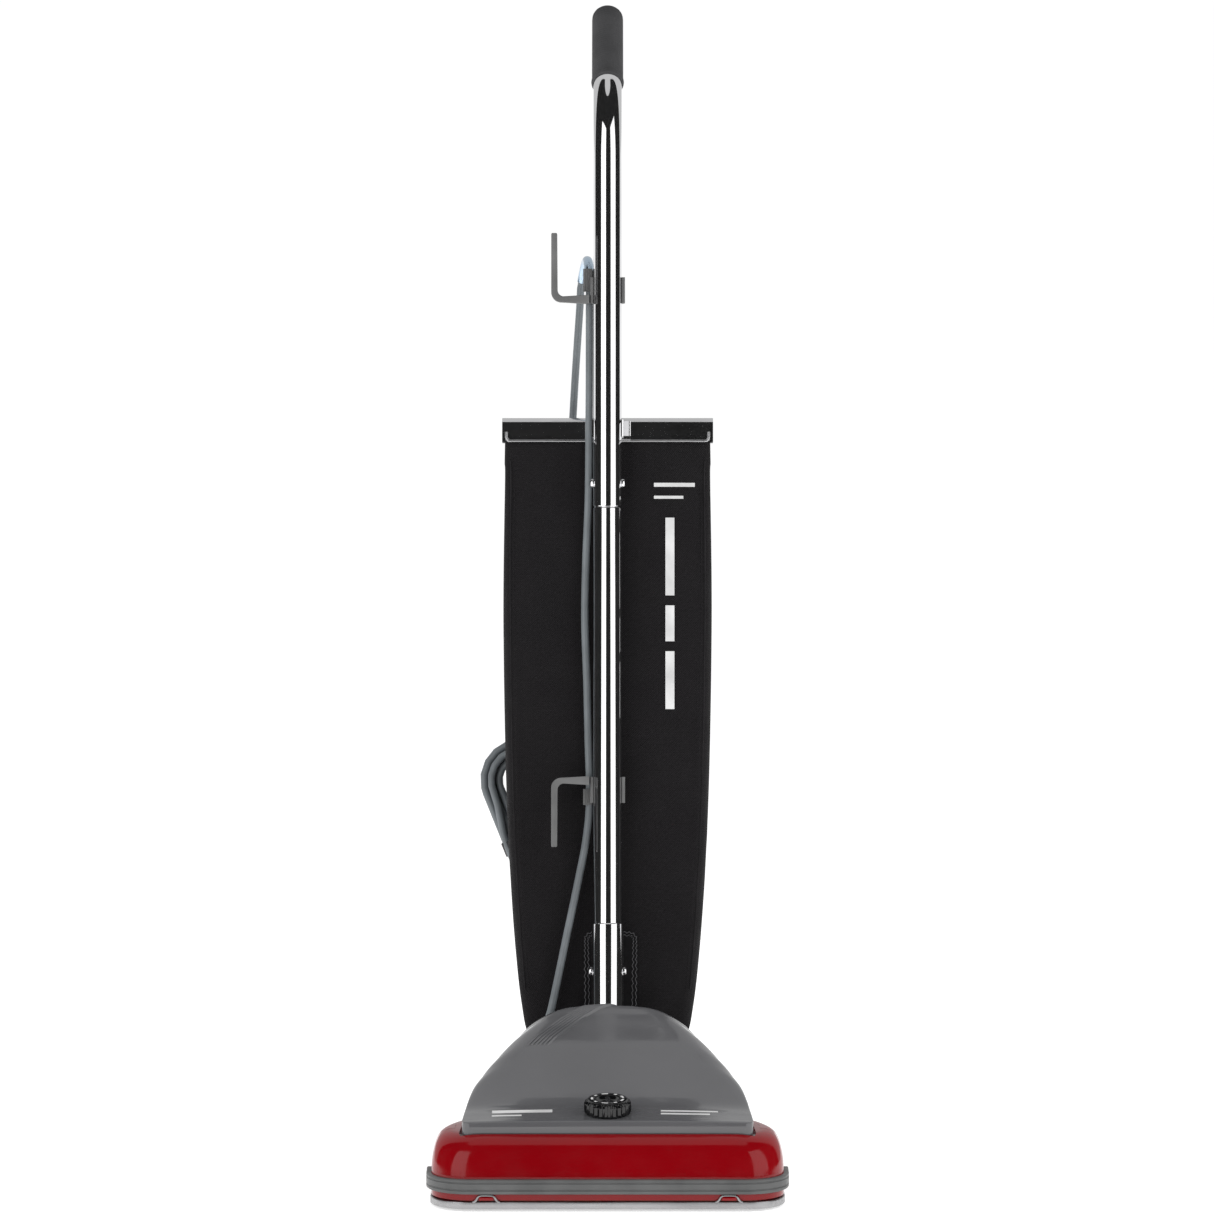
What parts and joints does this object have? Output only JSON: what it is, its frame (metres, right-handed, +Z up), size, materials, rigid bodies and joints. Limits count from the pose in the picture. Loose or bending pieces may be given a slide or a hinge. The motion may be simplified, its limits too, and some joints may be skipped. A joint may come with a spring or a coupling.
{
  "type": "upright vacuum cleaner",
  "caption": "Upright vacuum cleaner: low enamelled nozzle housing on wheels, grey hood with height knob, tilting chromed tube handle, cloth dust bag and hooks for the cord.",
  "frame": {"origin": "on the floor under the middle of the machine's box, handle parked and cord left out", "axes": "+Z up, +Y from the nozzle towards the rear wheels, +X to the right seen from the front"},
  "size_m": [0.354, 0.5192, 1.1451],
  "materials": {
    "red_enamel": "glossy enamel",
    "grey_hood": "glossy moulded grey",
    "grey_rubber": "ribbed grey vinyl",
    "zinc_plate": "satin zinc-plated steel",
    "red_latch": "red enamelled steel",
    "chrome_tube": "bright chrome plating",
    "chrome_channel": "plated steel channel",
    "blue_zinc": "bluish passivated zinc",
    "grip_vinyl": "dark grey vinyl",
    "hook_plastic": "satin moulded grey",
    "bag_cloth": "black woven cloth",
    "cord_jacket": "satin grey cord jacket",
    "plug_black": "satin moulded black",
    "knob_black": "glossy moulded black",
    "wheel_tread": "grey-black moulded rubber",
    "black_moulding": "satin moulded black",
    "switch_red": "glossy red button",
    "roll_wood": "varnished hardwood roll",
    "bristle": "stiff black bristle",
    "belt_rubber": "black belt rubber",
    "motor_steel": "machined and laminated steel",
    "armature_iron": "laminations with copper winding",
    "bridge_alloy": "cast alloy",
    "brush_carbon": "pressed carbon in holder"
  },
  "bodies": {
    "base": {"main_housing": "red_enamel", "motor_hood": "grey_hood", "bumper_strip": "grey_rubber", "nozzle_guard": "zinc_plate", "bottom_cover": "zinc_plate", "drive_belt": "belt_rubber", "motor_stator": "motor_steel", "rear_bearing_bracket": "zinc_plate", "bearing_bridge": "bridge_alloy", "carbon_brush_left": "brush_carbon", "carbon_brush_right": "brush_carbon", "fan_housing": "black_moulding", "exhaust_duct": "black_moulding", "pedal_bracket": "zinc_plate", "switch_case": "black_moulding", "roll_bearing_left": "black_moulding", "roll_bearing_right": "black_moulding", "rear_axle_left": "zinc_plate", "rear_axle_right": "zinc_plate", "pivot_yoke": "zinc_plate", "pivot_pin_left": "zinc_plate", "pivot_pin_right": "zinc_plate", "bag_collar": "black_moulding", "cord_strain_relief": "cord_jacket"},
    "handle": {"handle_bail": "chrome_tube", "lower_tube": "chrome_tube", "upper_tube": "chrome_tube", "hand_grip": "grip_vinyl", "dust_bag": "bag_cloth", "bag_neck": "bag_cloth", "bag_channel": "chrome_channel", "bag_wire": "chrome_channel", "cord_guide": "blue_zinc", "cord_lower": "cord_jacket", "cord_riser": "cord_jacket", "cord_hank": "cord_jacket", "power_plug": "plug_black", "lower_bolt": "chrome_tube", "upper_bolt": "chrome_tube", "lower_clip": "hook_plastic", "upper_clip": "hook_plastic"},
    "motor_rotor": {"motor_shaft": "motor_steel", "drive_pulley": "motor_steel", "suction_fan": "black_moulding", "motor_armature": "armature_iron"},
    "roll": {"brush_roll": "roll_wood", "bristle_strip_left": "bristle", "bristle_strip_right": "bristle"},
    "rear_wheel_left": {"rear_wheel_left": "wheel_tread"},
    "rear_wheel_right": {"rear_wheel_right": "wheel_tread"},
    "carriage": {"front_carriage": "zinc_plate"},
    "front_wheel_left": {"front_wheel_left": "wheel_tread"},
    "front_wheel_right": {"front_wheel_right": "wheel_tread"},
    "knob": {"height_knob": "knob_black"},
    "pedal": {"release_pedal": "black_moulding"},
    "switch": {"switch_button": "switch_red"},
    "latch_left": {"guard_latch_left": "red_latch"},
    "latch_right": {"guard_latch_right": "red_latch"},
    "hook_lower": {"lower_hook": "hook_plastic"},
    "hook_upper": {"upper_hook": "hook_plastic"}
  },
  "joints": [
    {"name": "handle_tilt", "type": "hinge", "parent": "base", "child": "handle", "pos_m": [0, -0.01955, 0.062], "axis": [-1, 0, 0], "range_deg": [0, 60], "deforming": ["bag_neck", "cord_lower"]},
    {"name": "height_knob_turn", "type": "hinge", "parent": "base", "child": "knob", "pos_m": [0, -0.19956, 0.0868], "axis": [0, -0.1132, 0.9936], "range_deg": [0, 270]},
    {"name": "front_carriage_tilt", "type": "hinge", "parent": "base", "child": "carriage", "pos_m": [0, -0.10555, 0.0205], "axis": [1, 0, 0], "range_deg": [0, 6]},
    {"name": "front_wheel_left_spin", "type": "hinge", "parent": "carriage", "child": "front_wheel_left", "pos_m": [-0.064, -0.14755, 0.013], "axis": [1, 0, 0], "continuous": true},
    {"name": "front_wheel_right_spin", "type": "hinge", "parent": "carriage", "child": "front_wheel_right", "pos_m": [0.064, -0.14755, 0.013], "axis": [1, 0, 0], "continuous": true},
    {"name": "rear_wheel_left_spin", "type": "hinge", "parent": "base", "child": "rear_wheel_left", "pos_m": [-0.111, 0.01645, 0.038], "axis": [1, 0, 0], "continuous": true},
    {"name": "rear_wheel_right_spin", "type": "hinge", "parent": "base", "child": "rear_wheel_right", "pos_m": [0.111, 0.01645, 0.038], "axis": [1, 0, 0], "continuous": true},
    {"name": "motor_spin", "type": "hinge", "parent": "base", "child": "motor_rotor", "pos_m": [0, -0.10648, 0.066], "axis": [0, 1, 0], "continuous": true},
    {"name": "brush_roll_spin", "type": "hinge", "parent": "base", "child": "roll", "pos_m": [0, -0.21155, 0.028], "axis": [1, 0, 0], "continuous": true},
    {"name": "upper_hook_turn", "type": "hinge", "parent": "handle", "child": "hook_upper", "pos_m": [-0.035, 0.09532, 0.85776], "axis": [1, 0, 0], "range_deg": [0, 180]},
    {"name": "lower_hook_turn", "type": "hinge", "parent": "handle", "child": "hook_lower", "pos_m": [-0.035, 0.02408, 0.38105], "axis": [-1, 0, 0], "range_deg": [0, 180]},
    {"name": "release_pedal_press", "type": "hinge", "parent": "base", "child": "pedal", "pos_m": [-0.079, 0.01044, 0.057], "axis": [-1, 0, 0], "range_deg": [0, 8], "stiffness_Nm_per_rad": 2, "springref_deg": -8.59},
    {"name": "switch_button_press", "type": "slide", "parent": "base", "child": "switch", "axis": [0, 0, -1], "range_m": [0, 0.004], "stiffness_N_per_m": 800, "springref_m": -0.002},
    {"name": "guard_latch_left_turn", "type": "hinge", "parent": "base", "child": "latch_left", "pos_m": [-0.12, -0.15555, 0.005], "axis": [0, 0, -1], "range_deg": [0, 90]},
    {"name": "guard_latch_right_turn", "type": "hinge", "parent": "base", "child": "latch_right", "pos_m": [0.12, -0.15555, 0.005], "axis": [0, 0, 1], "range_deg": [0, 90]}
  ],
  "couplings": [
    {"joint": "front_carriage_tilt", "follows": "height_knob_turn", "ratio": 0.022222},
    {"joint": "brush_roll_spin", "follows": "motor_spin", "ratio": 0.5324}
  ]
}
